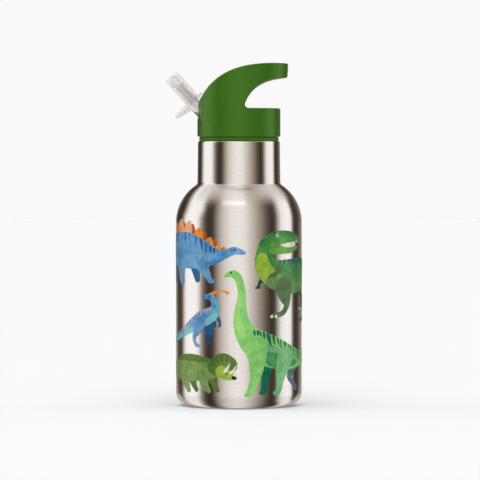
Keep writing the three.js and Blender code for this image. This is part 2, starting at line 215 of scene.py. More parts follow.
def rounded_cut(a, b, radius):
    """Inside both a and b, with the edge where they meet rounded off."""
    corner = np.hypot(np.maximum(a + radius, 0), np.maximum(b + radius, 0))
    return np.minimum(-radius, np.maximum(a, b)) + corner


def blended_join(a, b, radius):
    """Inside a or b, with a hollow fillet where they meet."""
    corner = np.hypot(np.maximum(radius - a, 0), np.maximum(radius - b, 0))
    return np.maximum(radius, np.minimum(a, b)) - corner


def outline_distance(x, y, outline):
    """Signed distance to a closed outline, negative inside."""
    points = np.asarray(outline, dtype=float)
    nearest = np.full(np.shape(x), np.inf)
    inside = np.zeros(np.shape(x), dtype=bool)
    for (ax, ay), (bx, by) in zip(points, np.roll(points, -1, axis=0)):
        ex, ey = bx - ax, by - ay
        along = np.clip(((x - ax) * ex + (y - ay) * ey) / (ex * ex + ey * ey), 0, 1)
        gap = np.hypot(x - ax - along * ex, y - ay - along * ey)
        nearest = np.minimum(nearest, gap)
        if ay != by:
            crosses = (ay > y) != (by > y)
            inside ^= crosses & (x < ax + ex * (y - ay) / ey)
    return np.where(inside, -nearest, nearest)


def bezier(start, a, b, end, steps):
    """Points along a curve from start to end that a and b pull on."""
    t = np.linspace(0, 1, steps + 1)[:, None]
    start, a, b, end = (np.array(p, dtype=float) for p in (start, a, b, end))
    return (1 - t) ** 3 * start + 3 * (1 - t) ** 2 * t * a + 3 * (1 - t) * t ** 2 * b + t ** 3 * end


def gradient(field, points):
    parts = []
    for axis in range(3):
        step = np.zeros(3)
        step[axis] = SLOPE_STEP
        parts.append((field(points + step) - field(points - step)) / (2 * SLOPE_STEP))
    return np.stack(parts, axis=1)


def field_mesh(name, field, low, high, step, relax=6):
    """A closed quad mesh of the surface where field is 0. low, high and step are in
    millimetres. Each cell that the surface crosses gets a vertex, which is then eased
    towards its neighbours and pulled back onto the surface."""
    axes = [np.arange(a, b + step, step) for a, b in zip(low, high)]
    counts = [len(a) for a in axes]
    value = np.empty(counts)
    plane = np.stack(np.meshgrid(axes[0], axes[1], indexing="ij"), axis=-1).reshape(-1, 2)
    for k, z in enumerate(axes[2]):
        points = np.column_stack([plane, np.full(len(plane), z)])
        value[:, :, k] = field(points).reshape(counts[0], counts[1])
    inside = value < 0

    filled = np.zeros([c - 1 for c in counts], dtype=int)
    for dx in (0, 1):
        for dy in (0, 1):
            for dz in (0, 1):
                filled += inside[
                    dx:counts[0] - 1 + dx, dy:counts[1] - 1 + dy, dz:counts[2] - 1 + dz
                ]
    crossed = (filled > 0) & (filled < 8)
    index = np.full(crossed.shape, -1)
    index[crossed] = np.arange(crossed.sum())
    points = np.argwhere(crossed) * step + np.array(low) + step / 2

    quads = []
    for axis in range(3):
        u, v = [(1, 2), (2, 0), (0, 1)][axis]
        here = np.moveaxis(inside, (axis, u, v), (0, 1, 2))
        cell = np.moveaxis(index, (axis, u, v), (0, 1, 2))
        start = here[:-1, 1:-1, 1:-1]
        end = here[1:, 1:-1, 1:-1]
        for leaving in (True, False):
            i, j, k = np.nonzero((start != end) & (start == leaving))
            corners = [cell[i, j, k], cell[i, j + 1, k], cell[i, j + 1, k + 1], cell[i, j, k + 1]]
            quads.append(np.stack(corners if leaving else corners[::-1], axis=1))
    quads = np.concatenate(quads)

    edges = np.concatenate([quads[:, [a, (a + 1) % 4]] for a in range(4)])
    degree = np.bincount(edges[:, 0], minlength=len(points))[:, None]
    for turn in range(relax + LAST_PULLS):
        if turn < relax:
            total = np.stack(
                [np.bincount(edges[:, 0], points[edges[:, 1], c], len(points)) for c in range(3)],
                axis=1,
            )
            points = points + EASING * (total / degree - points)
        slope = gradient(field, points)
        square = np.maximum((slope ** 2).sum(axis=1), LEAST_SLOPE ** 2)
        shift = np.clip(field(points) / square, -step, step)
        points = points - shift[:, None] * slope
    made = new_object(name, points * MM, quads)
    slope = gradient(field, points)
    slope /= np.maximum(np.linalg.norm(slope, axis=1), 1e-6)[:, None]
    made.data.normals_split_custom_set_from_vertices([tuple(n) for n in slope])
    return made


# ---------- steel flask ----------

def steel_shell():
    """The outer wall as a closed sheet. A dimple in its floor holds the sealing bead."""
    outside = [
        (HOLE_R, SEAT_Z + DIMPLE_RISE), (4.8, SEAT_Z + DIMPLE_RISE), (6.0, SEAT_Z),
        (DISC_R + SEAT_ROOM, SEAT_Z), (DISC_R + SEAT_ROOM, RIM_Z + 0.15), (DISC_R + 0.5, RIM_Z),
        *arc(RIM_OUT_R, CORNER_R + RIM_Z, CORNER_R, -90, 0, 14),
        *[(BODY_R, z) for z in np.arange(12, 100, 8)],
        *shoulder_and_fillet(SHOULDER_R, NECK_LOW_R, FILLET_R, 30),
        (NECK_LOW_R - 0.1, 130), (NECK_LOW_R - 0.2, 138),
        *arc(NECK_TOP_R - LIP_R, LIP_Z - LIP_R, LIP_R, 0, 90, 10),
        (LIP_IN_R, LIP_Z),
    ]
    inside = [
        (HOLE_R, SEAT_Z + DIMPLE_RISE + SHEET), (4.6, SEAT_Z + DIMPLE_RISE + SHEET),
        (6.2, SEAT_Z + SHEET),
        *arc(RIM_OUT_R, CORNER_R + RIM_Z + 0.3, CORNER_R - SHEET, -90, 0, 6),
        *shoulder_and_fillet(SHOULDER_R - SHEET, NECK_LOW_R - SHEET, FILLET_R + SHEET, 12),
        *arc(NECK_TOP_R - LIP_R, LIP_Z - LIP_R, LIP_R - SHEET, 0, 90, 4),
        (LIP_IN_R, LIP_Z - SHEET),
    ]
    return turned("steel_shell", outside + inside[::-1], steps=192)


def base_plate():
    """A flat disc with a pressed crease, and a rounded edge that shows under the body."""
    return turned("base_plate", [
        (0, 0), (17.4, 0), (17.7, 0.06), (17.9, 0.22), (18.3, 0.25), (18.6, 0.2), (18.8, 0.06),
        (19.1, 0), (DISC_R - 0.5, 0), (DISC_R - 0.15, 0.12), (DISC_R, 0.4), (DISC_R, DISC_T),
        (0, DISC_T),
    ], steps=128)


def gasket_ring():
    """The seal bulges out between the lip and the skirt, with a groove under the skirt."""
    return turned("gasket_ring", [
        (19.95, 147.43), (21.5, 147.43), (21.9, 147.55), (22.15, 147.85), (22.25, 148.2),
        (22.15, 148.6), (21.95, 148.85), (21.8, 149.05), (21.8, 149.25), (21.9, 149.38),
        (21.8, 149.46), (19.95, 149.46),
    ], steps=160, sharp_angle=60)


# ---------- lid ----------

def hook_top():
    """The lid seen from the side: everything under the hook's outer arc."""
    top = bezier((-22.35, 168.65), (-13.3, 188.1), (5.3, 190.85), (26.5, 190.2), 60)
    end = [(30, 140), (30, 166), (27.75, 166), (27.1, 183), (27.6, 189.2), (27.45, 189.8), (27.1, 190.1)]
    return [(-40, 140), *end, *top[::-1], (-24.6, 163.4), (-40, 130)]


def finger_gap():
    """The gap under the hook, seen from the side and open towards +X."""
    under = bezier((26.7, 182.2), (16.9, 181.6), (7.3, 178.9), (3.4, 168.2), 40)
    corner = bezier((3.4, 168.2), (3.0, 166.4), (3.9, RING_TOP_Z), (5.6, RING_TOP_Z), 8)
    return [(60, RING_TOP_Z), (60, 190), (28.2, 183.1), *under, *corner[1:]]


def spout_point(lean, along, right):
    """A point measured from the pivot along a direction that leans from upright."""
    a = math.radians(lean)
    return (
        PIVOT[0] + along * math.sin(a) + right * math.cos(a),
        PIVOT[2] + along * math.cos(a) - right * math.sin(a),
    )


def slot_sweep():
    """The region of the XZ plane that the spout passes through as it folds."""
    is_open = -OPEN_LEAN
    folded = CLOSE_TURN - OPEN_LEAN
    reach = SPOUT_LENGTH + 0.7
    room = STEM_R + SPOUT_ROOM
    return [
        spout_point(is_open, 0, -room), spout_point(folded, 0, room),
        spout_point(folded, reach, room), spout_point(folded, reach, -24),
        spout_point(is_open, 45, 15), spout_point(is_open, 45, -room),
    ]


def stub_pocket():
    """The sector that the stub behind the mouthpiece sweeps."""
    return [(PIVOT[0], PIVOT[2]), *arc(PIVOT[0], PIVOT[2], POCKET_REACH, 26, 70, 15)]


TOP_OUTLINE = hook_top()
GAP_OUTLINE = finger_gap()
SWEEP_OUTLINE = slot_sweep()
POCKET_OUTLINE = stub_pocket()


def lid_field(points):
    """The lid: round at the bottom, drawn out to +X where it becomes the hook."""
    x, y, z = points.T
    across = np.hypot(x, y)
    reach = np.where(x > 0, HOOK_REACH, LID_R)
    unit = np.hypot(x / reach, y / LID_R)
    slope = np.hypot(x / reach ** 2, y / LID_R ** 2)
    hook_plan = unit * (unit - 1) / np.maximum(slope, 1e-6)
    share = np.clip((z - HOOK_LOW_Z) / HOOK_BLEND, 0, 1)
    plan = (across - LID_R) * (1 - share) + hook_plan * share

    body = rounded_cut(plan, outline_distance(x, z, TOP_OUTLINE), EDGE_R)
    body = rounded_cut(body, LID_LOW_Z - z, 0.5)
    body = rounded_cut(body, -outline_distance(x, z, GAP_OUTLINE), EDGE_R)
    hollow = rounded_cut(across - LID_IN_R, z - DECK_LOW_Z, 0.8)
    body = rounded_cut(body, -hollow, INNER_EDGE_R)

    pivot_gap = np.hypot(x - PIVOT[0], z - PIVOT[2])
    ribs = np.maximum(across - LID_IN_R - RIB_OVERLAP, x - RIB_FRONT_X)
    ribs = np.maximum(ribs, np.abs(y) - RIB_HALF)
    ribs = np.maximum(ribs, np.maximum(RIB_LOW_Z - z, z - DECK_LOW_Z - RIB_OVERLAP))
    body = blended_join(body, ribs, 0.3)
    notch = np.maximum(np.abs(x - PIVOT[0]) - NOTCH_R, z - PIVOT[2])
    notch = np.minimum(notch, pivot_gap - NOTCH_R)
    notch = np.maximum(notch, np.abs(y) - RIB_HALF - 1)
    body = np.maximum(body, -notch)

    sweep = np.minimum(outline_distance(x, z, SWEEP_OUTLINE), outline_distance(x, z, POCKET_OUTLINE))
    sweep = np.minimum(sweep, pivot_gap - HUB_R - SPOUT_ROOM)
    inside_ribs = np.maximum(np.maximum(z - DECK_LOW_Z, across - LID_IN_R), x + 4)
    sweep = np.minimum(sweep, inside_ribs)
    slot = rounded_cut(sweep, np.abs(y) - SLOT_HALF, SLOT_EDGE_R)
    return rounded_cut(body, -slot, INNER_EDGE_R)


def lid_cap():
    return field_mesh("lid_cap", lid_field, (-24.5, -24.5, 148.5), (29, 24.5, 192), 0.55)


# ---------- spout, drawn upright about its pivot ----------

def spout_frame():
    """From the upright drawing to the open spout in the row frame."""
    turn = Matrix.Rotation(math.radians(-OPEN_LEAN), 4, "Y")
    return Matrix.Translation(Vector(PIVOT * MM)) @ turn


def capped_rod(across, z, radius, low, high, edge):
    """An upright rod from low to high with rounded edges."""
    return rounded_cut(across - radius, np.maximum(low - z, z - high), edge)


def stem_field(points):
    """The pipe and its turning hub, bored from the mouth to the inlet under the hub."""
    x, y, z = points.T
    across = np.hypot(x, y)
    hub = rounded_cut(np.hypot(x, z) - HUB_R, np.abs(y) - HUB_HALF, 0.4)
    trunnions = rounded_cut(np.hypot(x, z) - TRUNNION_R, np.abs(y) - TRUNNION_HALF, 0.3)
    pipe = capped_rod(across, z, STEM_R, 0, FLANGE_AT - 1.4, 0.6)
    nipple = capped_rod(across, z, NIPPLE_R, 0, 25, 0.3)
    body = blended_join(blended_join(hub, pipe, 0.8), nipple, 0.2)
    body = np.minimum(body, trunnions)
    bore = np.maximum(across - BORE_R, -z)
    lean = math.radians(180 + OPEN_LEAN)
    along = x * math.sin(lean) + z * math.cos(lean)
    side = np.hypot(x * math.cos(lean) - z * math.sin(lean), y)
    inlet = np.maximum(side - BORE_R, -along)
    passage = np.minimum(np.minimum(bore, inlet), np.sqrt(x * x + y * y + z * z) - BORE_R)
    return rounded_cut(body, -passage, 0.2)


def at_flange(*points):
    """Side outline from (x, height over the flange) points."""
    return [(x, FLANGE_AT + rise) for x, rise in points]


FIN = at_flange((-3, 1.1), (-3, -1.2), (-13.2, -1.4), (-13.6, -1.0), (-13.4, -0.4), (-12.6, 0.1))
STUB = at_flange((3, -1.1), (6.4, -0.6), (6.7, -0.2), (6.3, 0.25), (3, 0.5))
GUSSET = at_flange((-3, -3.6), (-4.5, -3.6), (-12.2, -2.2), (-13.0, -1.3), (-3, -1.0))


def valve_field(points):
    """The mouthpiece: a slit sleeve over the pipe's nipple, with a thumb fin and a stub."""
    x, y, z = points.T
    across = np.hypot(x, y)
    root = FLANGE_AT - 1
    sleeve = capped_rod(across, z, VALVE_R, root, SPOUT_LENGTH, 0.5)
    width = np.abs(y) - FLANGE_HALF
    fin = rounded_cut(outline_distance(x, z, FIN), width, 0.3)
    stub = rounded_cut(outline_distance(x, z, STUB), width, 0.3)
    gusset = rounded_cut(outline_distance(x, z, GUSSET), np.abs(y) - 0.8, 0.2)
    body = blended_join(sleeve, np.minimum(fin, stub), 0.4)
    body = blended_join(body, gusset, 0.3)
    pocket = capped_rod(across, z, NIPPLE_R + SOCKET_ROOM, 0, SPOUT_LENGTH - 1.1, 0.8)
    socket = capped_rod(across, z, STEM_R + SOCKET_ROOM, 0, root, 0.01)
    body = rounded_cut(body, -np.minimum(pocket, socket), 0.15)
    slit = np.maximum(np.abs(x) - SLIT_HALF, np.abs(y) - SLIT_REACH)
    slit = np.maximum(slit, SPOUT_LENGTH - SLIT_DEPTH - z)
    return np.maximum(body, -slit)


def clear_stem():
    made = field_mesh("clear_stem", stem_field, (-6, -8, -6), (6, 8, 26), 0.34)
    made.data.transform(spout_frame())
    return made


def mouthpiece():
    made = field_mesh("mouthpiece", valve_field, (-15, -5.5, 9), (8.4, 5.5, 32.4), 0.26, relax=4)
    made.data.transform(spout_frame())
    return made


# ---------- screw plug ----------

def thread_height(angle, z):
    """How far the plug's thread stands out at an angle and a height."""
    rise = 0.0
    for lap in (0, 1):
        turn = angle / (2 * math.pi) + lap
        if turn > THREAD_TURNS:
            continue
        off = abs(z - THREAD_Z - PITCH * turn)
        ends = min(1.0, THREAD_RUN_OUTS * turn, THREAD_RUN_OUTS * (THREAD_TURNS - turn))
        shape = min(1.0, max(0.0, (THREAD_HALF - off) / THREAD_FLANK))
        rise = max(rise, ends * shape * (PLUG_CREST_R - PLUG_R))
    return rise


def screw_plug():
    """The plug is a turned cup, with the thread raised on its outer wall."""
    wall = np.arange(*THREADED, 0.25)
    profile = [
        (PLUG_IN_R, PLUG_LOW_Z), (PLUG_R - 0.5, PLUG_LOW_Z), (PLUG_R, PLUG_LOW_Z + 0.6),
        *[(PLUG_R, z) for z in wall],
        (PLUG_R, 149.4), (PLUG_R + 0.3, 149.7), (PLUG_RIM_R, 149.7), (PLUG_RIM_R, PLUG_TOP_Z),
        (0.01, PLUG_TOP_Z), (0.01, 149.9), (PLUG_IN_R - 0.6, 149.9), (PLUG_IN_R, 149.3),
    ]
    made = turned("screw_plug", profile, steps=144)
    for vertex in made.data.vertices:
        x, y, z = vertex.co / MM
        radius = math.hypot(x, y)
        if abs(radius - PLUG_R) < 0.01 and THREADED[0] <= z <= THREADED[1]:
            angle = math.atan2(y, x) % (2 * math.pi)
            grown = 1 + thread_height(angle, z) / radius
            vertex.co.x *= grown
            vertex.co.y *= grown
    return made


# ---------- printed pictures ----------

# The pictures are plain generic dinosaurs, drawn flat: u runs round the bottle from the
# middle of the front and v is the height, both in millimetres. A shape has a distance
# function, negative inside, and the box it lies in. Each shape becomes a thin closed film
# of ink wrapped on the steel, and later shapes lie on top of earlier ones. The sizes below
# are in millimetres, and the last three are the steps of the grids that shapes are cut from.

INK_LIFT = 0.012
INK_STEP = 0.02
INK_THICKNESS = 0.036
THINNEST = 0.08
COARSE = 0.6
MEDIUM = 0.4
SMALL = 0.2

# The nearest that a cut edge may come to a grid point, as a share of the grid's step.
CUT_MARGIN = 0.06


class Shape:
    def __init__(self, gap, box):
        self.gap = gap
        self.box = box

    def moved(self, shift_u, shift_v, scale=1.0, flip=1.0):
        """The shape scaled and mirrored about (0, 0), then shifted."""
        def gap(u, v):
            return self.gap((u - shift_u) * flip / scale, (v - shift_v) / scale) * scale
        left, low, right, high = self.box
        ends = sorted([left * flip * scale + shift_u, right * flip * scale + shift_u])
        return Shape(gap, (ends[0], low * scale + shift_v, ends[1], high * scale + shift_v))


def smooth_path(points, steps=5):
    """A curve that passes smoothly through the points."""
    points = np.array(points, dtype=float)
    before = 2 * points[0] - points[1]
    after = 2 * points[-1] - points[-2]
    knots = np.vstack([before, points, after])
    path = []
    for a, b, c, d in zip(knots, knots[1:], knots[2:], knots[3:]):
        for t in np.linspace(0, 1, steps, endpoint=False):
            bend = (2 * a - 5 * b + 4 * c - d) * t * t + (3 * b - a - 3 * c + d) * t ** 3
            path.append(b + 0.5 * ((c - a) * t + bend))
    path.append(points[-1])
    return np.array(path)


def limb(*points):
    """A rounded, tapering limb through (u, v, radius) points."""
    path = smooth_path(points)
    path[:, 2] = np.maximum(path[:, 2], THINNEST)

    def gap(u, v):
        nearest = np.full(np.shape(u), 1e3)
        for (au, av, ar), (bu, bv, br) in zip(path[:-1], path[1:]):
            eu, ev = bu - au, bv - av
            along = np.clip(((u - au) * eu + (v - av) * ev) / max(eu * eu + ev * ev, 1e-9), 0, 1)
            far = np.hypot(u - au - along * eu, v - av - along * ev)
            nearest = np.minimum(nearest, far - ar - along * (br - ar))
        return nearest

    low = (path[:, :2] - path[:, 2:]).min(axis=0)
    high = (path[:, :2] + path[:, 2:]).max(axis=0)
    return Shape(gap, (*low, *high))


def spot(u, v, radius):
    """A round spot."""
    return Shape(
        lambda pu, pv: np.hypot(pu - u, pv - v) - radius,
        (u - radius, v - radius, u + radius, v + radius),
    )


def all_boxes(shapes):
    boxes = np.array([shape.box for shape in shapes])
    return (*boxes[:, :2].min(axis=0), *boxes[:, 2:].max(axis=0))


def together(*shapes, blend=0.0):
    """Several shapes as one, with hollow fillets of radius blend where they meet."""
    def gap(u, v):
        total = shapes[0].gap(u, v)
        for shape in shapes[1:]:
            other = shape.gap(u, v)
            total = blended_join(total, other, blend) if blend else np.minimum(total, other)
        return total
    return Shape(gap, all_boxes(shapes))


def only_in(shape, outer, margin=0.0):
    """The part of a shape that lies inside another, held back from its edge by a margin."""
    return Shape(lambda u, v: np.maximum(shape.gap(u, v), outer.gap(u, v) + margin), shape.box)


def stripes(path, count, length, width, lean):
    """Uneven tapering stripes that hang from a path of (u, v) points, longest in the middle."""
    line = smooth_path(path, 8)
    made = []
    for k in range(count):
        share = k / (count - 1)
        u, v = line[round(share * (len(line) - 1))]
        reach = length * (0.55 + 0.45 * math.sin(math.pi * share)) * (0.85 + 0.25 * math.sin(5.1 * k))
        tilt = lean + 0.14 * math.sin(3.7 * k)
        thick = width * (1 + 0.3 * math.sin(2.3 * k))
        made.append(limb(
            (u, v + 0.5, thick), (u + 0.35 * tilt * reach, v - 0.5 * reach, 0.75 * thick),
            (u + tilt * reach, v - reach, 0.12),
        ))
    return together(*made)


def plates(path, sizes, lean=0.25):
    """Leaf-shaped plates that stand along a path of (u, v) points."""
    line = smooth_path(path, 8)
    made = []
    for k, tall in enumerate(sizes):
        u, v = line[round(k / (len(sizes) - 1) * (len(line) - 1))]
        made.append(limb(
            (u, v - 0.8, 0.46 * tall), (u + 0.3 * lean * tall, v + 0.38 * tall, 0.52 * tall),
            (u + 0.8 * lean * tall, v + 0.8 * tall, 0.26 * tall),
            (u + lean * tall, v + 1.02 * tall, 0.07 * tall),
        ))
    return made


def body_radius(v):
    """The flask's outer radius at a height, over the straight wall and both curves."""
    v = np.asarray(v, dtype=float)
    low = np.clip(RIM_Z + CORNER_R - v, 0, CORNER_R)
    high = np.clip(v - BODY_TOP_Z, 0, SHOULDER_R)
    at_corner = RIM_OUT_R + np.sqrt(CORNER_R ** 2 - low ** 2)
    at_shoulder = BODY_R - SHOULDER_R + np.sqrt(SHOULDER_R ** 2 - high ** 2)
    return np.where(low > 0, at_corner, np.where(high > 0, at_shoulder, BODY_R))


def wrapped(flat, lift):
    """Flat (u, v) points on the flask, in metres, lifted off the steel."""
    u, v = flat.T
    radius = body_radius(v) + lift
    return np.column_stack([
        radius * np.sin(u / BODY_R), -radius * np.cos(u / BODY_R), v,
    ]) * MM


def fill(shape, step):
    """Points and polygons that fill a shape: whole squares of a grid inside it, and cut
    ones along its edge."""
    left, low, right, high = shape.box
    us = np.arange(left - 2 * step, right + 3 * step, step)
    vs = np.arange(low - 2 * step, high + 3 * step, step)
    grid_u, grid_v = np.meshgrid(us, vs, indexing="ij")
    value = shape.gap(grid_u, grid_v)
    inside = value < 0
    index = np.full(inside.shape, -1)
    index[inside] = np.arange(inside.sum())
    points = list(np.column_stack([grid_u[inside], grid_v[inside]]))
    corners = inside[:-1, :-1].astype(int) + inside[1:, :-1] + inside[1:, 1:] + inside[:-1, 1:]
    i, j = np.nonzero(corners == 4)
    whole = [index[i, j], index[i + 1, j], index[i + 1, j + 1], index[i, j + 1]]
    polygons = np.stack(whole, axis=1).tolist()

    crossings = {}

    def crossing(a, b):
        key = (min(a, b), max(a, b))
        if key not in crossings:
            share = value[key[0]] / (value[key[0]] - value[key[1]])
            share = min(max(share, CUT_MARGIN), 1 - CUT_MARGIN)
            start = np.array([us[key[0][0]], vs[key[0][1]]])
            end = np.array([us[key[1][0]], vs[key[1][1]]])
            crossings[key] = len(points)
            points.append(start + share * (end - start))
        return crossings[key]

    for i, j in np.argwhere((corners > 0) & (corners < 4)):
        square = [(i, j), (i + 1, j), (i + 1, j + 1), (i, j + 1)]
        polygon = []
        for a, b in zip(square, square[1:] + square[:1]):
            if inside[a]:
                polygon.append(index[a])
            if inside[a] != inside[b]:
                polygon.append(crossing(a, b))
        polygons.append(polygon)
    return np.array(points), polygons


def print_picture(name, layers, materials):
    """One printed picture from (ink name, shape, grid step) layers, first at the back."""
    vertices, faces, inks = [], [], []
    for depth, (ink_name, shape, step) in enumerate(layers):
        flat, polygons = fill(shape, step)
        low = INK_LIFT + depth * INK_STEP
        first = len(vertices)
        top = first + len(flat)
        vertices.extend(wrapped(flat, low))
        vertices.extend(wrapped(flat, low + INK_THICKNESS))
        edges = {(a, b) for p in polygons for a, b in zip(p, p[1:] + p[:1])}
        rim = sorted((a, b) for a, b in edges if (b, a) not in edges)
        made = [[top + a for a in p] for p in polygons]
        made += [[first + a for a in reversed(p)] for p in polygons]
        made += [(top + a, first + a, first + b, top + b) for a, b in rim]
        faces.extend(made)
        inks.extend([ink_name] * len(made))
    made = new_object(name, vertices, faces, smooth=False)
    used = sorted(set(inks))
    for ink_name in used:
        made.data.materials.append(materials[ink_name])
    made.data.polygons.foreach_set("material_index", [used.index(i) for i in inks])
    return made


def plated_walker():
    """Long blue body, head to the right, with a double row of plates along its back."""
    trunk = limb(
        (-74, 80, 0.4), (-66, 83.2, 3.0), (-56, 86.4, 6.6), (-44, 87.0, 9.4), (-32, 86.7, 9.9),
        (-21, 85.0, 7.4), (-13, 83.9, 3.9), (-7.5, 85.1, 2.4), (-2.7, 86.9, 2.2), (1.4, 86.1, 1.4),
        (3.2, 85.6, 0.8),
    )
    far_legs = together(
        limb((-27, 81, 4.6), (-25.8, 75, 2.7), (-24.8, 71.2, 1.9)),
        limb((-54, 82, 5.0), (-53, 75, 3.2), (-51.5, 70.5, 2.2)),
    )
    near_front = limb(
        (-24, 83, 5.2), (-20.6, 77.6, 3.5), (-17.6, 72.8, 1.9), (-16.2, 70.4, 1.4), (-14.4, 70.2, 0.9),
    )
    near_hind = limb((-41.5, 84, 6.0), (-40, 77.5, 3.9), (-39.2, 71.8, 2.7), (-38.4, 69.8, 2.2))
    back = [(-66, 86.4), (-56, 92.4), (-44, 95.6), (-33, 95.7), (-22, 91.6), (-13.5, 87.4), (-8, 87.0)]
    second_row = [(u + 3.1, v - 0.6) for u, v in back]
    front = plates(back, [3.4, 5.4, 7.0, 7.6, 7.0, 6.2, 4.8, 3.2, 1.7])
    behind = plates(second_row, [3.2, 5.0, 6.2, 6.4, 6.0, 5.2, 3.9, 2.4, 1.4])
    shade = stripes(
        [(-60, 90), (-50, 94.2), (-40, 96.2), (-30, 95.6), (-20, 91), (-14, 87.4)],
        13, 7.5, 0.55, 0.12,
    )
    glow = limb((-36, 85, 3.4), (-28, 84, 4.0), (-20, 83.6, 2.4))
    return [
        ("rust", together(*behind), MEDIUM),
        ("deep_blue", far_legs, COARSE),
        ("tan", together(*front[:5]), MEDIUM),
        ("orange", together(*front[5:]), MEDIUM),
        ("blue", trunk, COARSE),
        ("deep_blue", only_in(shade, trunk, 0.1), MEDIUM),
        ("sky", only_in(glow, trunk, 0.3), COARSE),
        ("sky", together(near_front, near_hind), COARSE),
        ("ink_black", spot(-2.3, 87.5, 0.5), SMALL),
        ("deep_blue", limb((0.2, 85.7, 0.12), (2.6, 85.4, 0.12)), SMALL),
    ]


def big_hunter():
    """Green two-legged hunter with a big head, looking right."""
    trunk = together(
        limb(
            (24, 92.6, 4.6), (17.8, 90.2, 5.6), (15.0, 84.5, 5.6), (15.8, 78.2, 6.6), (21.5, 73.6, 8.2),
            (31, 72.6, 9.4), (43, 73.2, 9.4), (55, 74.8, 7.0), (68, 76.8, 4.0), (81, 79.8, 1.9),
            (93, 84, 0.3),
        ),
        limb((21.5, 93.0, 4.6), (28, 94.0, 3.9), (35, 94.0, 2.9), (40, 92.8, 2.1), (42.2, 91.4, 1.2)),
        blend=0.8,
    )
    jaw = limb((20.5, 88.2, 3.4), (27.5, 86.9, 2.0), (34, 87.1, 1.6), (39.6, 88.5, 1.2))
    mouth = limb((25.5, 89.4, 0.9), (31, 89.6, 1.5), (37, 90.2, 1.3))
    near_leg = limb(
        (28, 66.5, 6.3), (28.8, 61.5, 4.3), (30.0, 57.6, 2.3), (28.4, 54.2, 1.6), (25.6, 52.0, 1.4),
        (20.6, 51.4, 1.4),
    )
    far_leg = limb((47, 68, 5.4), (49, 62.5, 3.4), (51, 58.8, 1.9), (48.6, 56.0, 1.4), (44.5, 54.9, 1.2))
    arm = together(
        limb((16, 75.4, 2.2), (14.0, 72.0, 1.5), (11.8, 69.6, 1.0), (10.8, 67.2, 0.8), (9.4, 66.4, 0.5)),
        limb((11.2, 68.0, 0.7), (11.6, 66.2, 0.4)),
    )
    near_arm = limb((24.5, 77.4, 2.1), (21.4, 74.0, 1.3), (18.2, 73.2, 0.9), (16.6, 71.8, 0.4))
    chest = limb((13.2, 82.6, 3.2), (13.4, 77.8, 4.8), (17.6, 72.4, 5.0), (22, 69.4, 4.8))
    belly = limb((20, 68.8, 5.0), (28, 66.6, 4.6), (38, 65.4, 3.6), (49, 67.0, 1.8))
    back = [(25, 82.6), (34, 82.4), (44, 82.9), (55, 82.0), (66, 81.0), (76, 81.2)]
    marks = together(
        stripes(back, 15, 8.5, 0.75, -0.35),
        stripes([(10.5, 90.5), (14, 95), (20, 97.6)], 4, 3.0, 0.5, 0.5),
        stripes([(26, 98.0), (32, 97.6), (38, 95.8)], 4, 2.6, 0.5, -0.5),
    )
    teeth = together(*[
        limb((u, 91.0 + 0.14 * (u - 33), 0.42), (u + 0.15, 89.9 + 0.14 * (u - 33), 0.1))
        for u in (33.5, 35.3, 37.1, 38.9, 40.5)
    ])
    claws = together(
        *[spot(u, 50.7, 0.9) for u in (18.9, 21.8)],
        *[spot(u, 54.4, 0.7) for u in (43.4, 45.6)],
    )
    return [
        ("deep_green", together(far_leg, arm), COARSE),
        ("hunter_green", together(trunk, jaw, blend=0.5), COARSE),
        ("bone", mouth, MEDIUM),
        ("leaf_green", jaw, MEDIUM),
        ("lime", only_in(chest, trunk, 0.25), COARSE),
        ("sage", only_in(belly, trunk, 0.25), COARSE),
        ("navy", only_in(marks, trunk, 0.05), MEDIUM),
        ("moss", near_leg, COARSE),
        ("moss", near_arm, MEDIUM),
        ("bone", together(teeth, claws, spot(22.8, 95.5, 1.1)), SMALL),
        ("ink_black", spot(23.1, 95.6, 0.62), SMALL),
    ]


